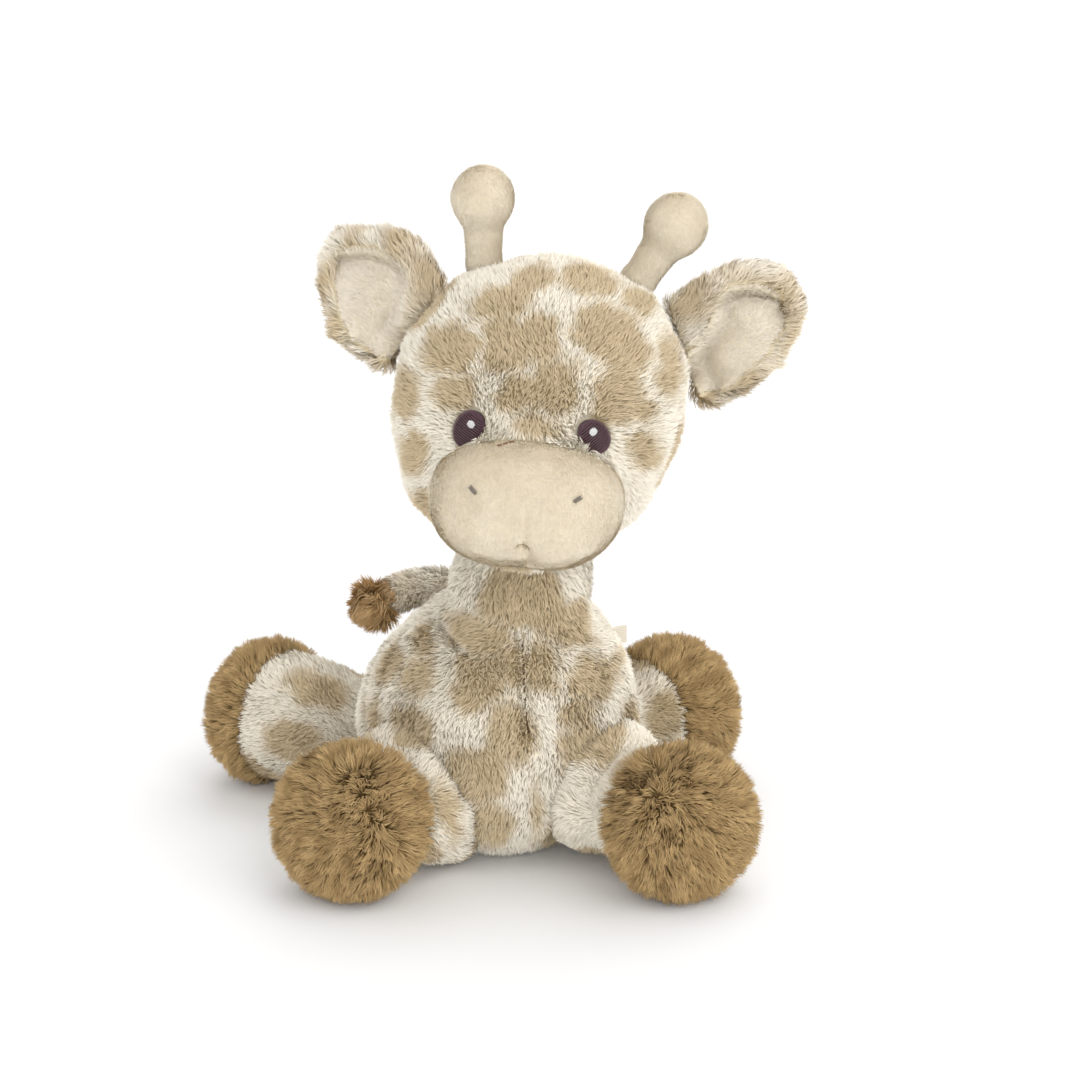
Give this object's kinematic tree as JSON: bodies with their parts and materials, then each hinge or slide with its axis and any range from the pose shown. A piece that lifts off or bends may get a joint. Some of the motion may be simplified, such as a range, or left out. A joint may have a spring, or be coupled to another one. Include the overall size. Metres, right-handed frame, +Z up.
{
  "type": "plush giraffe",
  "caption": "Soft plush giraffe lying on its belly with stubby spread legs, a patched fur coat, a plain muzzle, cupped ears, ball-tipped ossicones and a tufted tail.",
  "frame": {"origin": "on the floor under the middle of the body", "axes": "+Z up, -Y the way the toy faces, +X the toy's own left side"},
  "size_m": [0.2616, 0.2099, 0.2987],
  "materials": {
    "patched_fur": "long soft plush in cream with beige-brown patches",
    "hoof_fur": "long shaggy ochre-brown plush",
    "tuft_fur": "long spiky brown plush",
    "velboa": "very short cream pile",
    "stuffing": "loose white polyester fibre",
    "eye_thread": "satin-stitched dark thread",
    "highlight_thread": "satin-stitched pale thread",
    "nostril_thread": "satin-stitched grey-brown thread",
    "ribbon": "blank woven ribbon"
  },
  "bodies": {
    "torso": {"body_cover": "patched_fur", "body_filling": "stuffing", "ribbon_loop": "ribbon"},
    "neck": {"neck_cover": "patched_fur", "neck_filling": "stuffing"},
    "head": {"head_cover": "patched_fur", "muzzle_cover": "velboa", "head_filling": "stuffing", "eye_left": "eye_thread", "eye_right": "eye_thread", "eye_highlight_left": "highlight_thread", "eye_highlight_right": "highlight_thread", "nostril_left": "nostril_thread", "nostril_right": "nostril_thread"},
    "ear_left": {"ear_left_plush": "patched_fur", "ear_left_lining": "velboa"},
    "ear_right": {"ear_right_plush": "patched_fur", "ear_right_lining": "velboa"},
    "ossicone_left": {"ossicone_left_cover": "velboa", "ossicone_left_filling": "stuffing"},
    "ossicone_right": {"ossicone_right_cover": "velboa", "ossicone_right_filling": "stuffing"},
    "leg_front_left": {"leg_front_left_cover": "patched_fur", "leg_front_left_hoof": "hoof_fur", "leg_front_left_filling": "stuffing"},
    "leg_front_right": {"leg_front_right_cover": "patched_fur", "leg_front_right_hoof": "hoof_fur", "leg_front_right_filling": "stuffing"},
    "leg_back_left": {"leg_back_left_cover": "patched_fur", "leg_back_left_hoof": "hoof_fur", "leg_back_left_filling": "stuffing"},
    "leg_back_right": {"leg_back_right_cover": "patched_fur", "leg_back_right_hoof": "hoof_fur", "leg_back_right_filling": "stuffing"},
    "tail": {"tail_cover": "patched_fur", "tail_filling": "stuffing", "tail_tuft": "tuft_fur"}
  },
  "joints": [
    {"name": "head_turn", "type": "hinge", "parent": "torso", "child": "neck", "pos_m": [0.003, -0.013, 0.084], "axis": [0.1564, -0.1032, 0.9823], "range_deg": [-40, 40], "stiffness_Nm_per_rad": 0.5},
    {"name": "head_nod", "type": "hinge", "parent": "neck", "child": "head", "pos_m": [0.01051, -0.01796, 0.13115], "axis": [0.9715, -0.226, -0.0722], "range_deg": [-20, 20], "stiffness_Nm_per_rad": 0.6},
    {"name": "ear_left_swing", "type": "hinge", "parent": "head", "child": "ear_left", "pos_m": [0.07936, -0.02102, 0.22179], "axis": [-0.2952, 0.0846, 0.9517], "range_deg": [-25, 30], "stiffness_Nm_per_rad": 0.02},
    {"name": "ear_right_swing", "type": "hinge", "parent": "head", "child": "ear_right", "pos_m": [-0.03611, 0.00584, 0.23038], "axis": [-0.631, 0.1329, -0.7643], "range_deg": [-40, 10], "stiffness_Nm_per_rad": 0.02},
    {"name": "ossicone_left_lean", "type": "hinge", "parent": "head", "child": "ossicone_left", "pos_m": [0.0586, -0.01302, 0.24991], "axis": [0.2254, 0.9741, -0.0167], "range_deg": [-20, 20], "stiffness_Nm_per_rad": 0.02},
    {"name": "ossicone_right_lean", "type": "hinge", "parent": "head", "child": "ossicone_right", "pos_m": [-0.00482, 0.00075, 0.25588], "axis": [0.2254, 0.9741, -0.0167], "range_deg": [-20, 10], "stiffness_Nm_per_rad": 0.02},
    {"name": "leg_front_left_lift", "type": "hinge", "parent": "torso", "child": "leg_front_left", "pos_m": [0.04369, -0.04066, 0.03042], "axis": [-0.8966, -0.4428, 0], "range_deg": [-20, 25], "stiffness_Nm_per_rad": 0.1},
    {"name": "leg_front_right_lift", "type": "hinge", "parent": "torso", "child": "leg_front_right", "pos_m": [-0.04786, -0.0342, 0.03042], "axis": [-0.7609, 0.6489, 0], "range_deg": [-20, 18], "stiffness_Nm_per_rad": 0.1},
    {"name": "leg_back_left_lift", "type": "hinge", "parent": "torso", "child": "leg_back_left", "pos_m": [0.05441, 0.02982, 0.03042], "axis": [0.4508, -0.8926, 0], "range_deg": [-20, 18], "stiffness_Nm_per_rad": 0.1},
    {"name": "leg_back_right_lift", "type": "hinge", "parent": "torso", "child": "leg_back_right", "pos_m": [-0.04591, 0.0451, 0.03042], "axis": [0.4918, 0.8707, 0], "range_deg": [-20, 20], "stiffness_Nm_per_rad": 0.1},
    {"name": "tail_swing", "type": "hinge", "parent": "torso", "child": "tail", "pos_m": [0.00278, 0.06895, 0.07164], "axis": [0, 0, 1], "range_deg": [-20, 13], "stiffness_Nm_per_rad": 0.01}
  ]
}
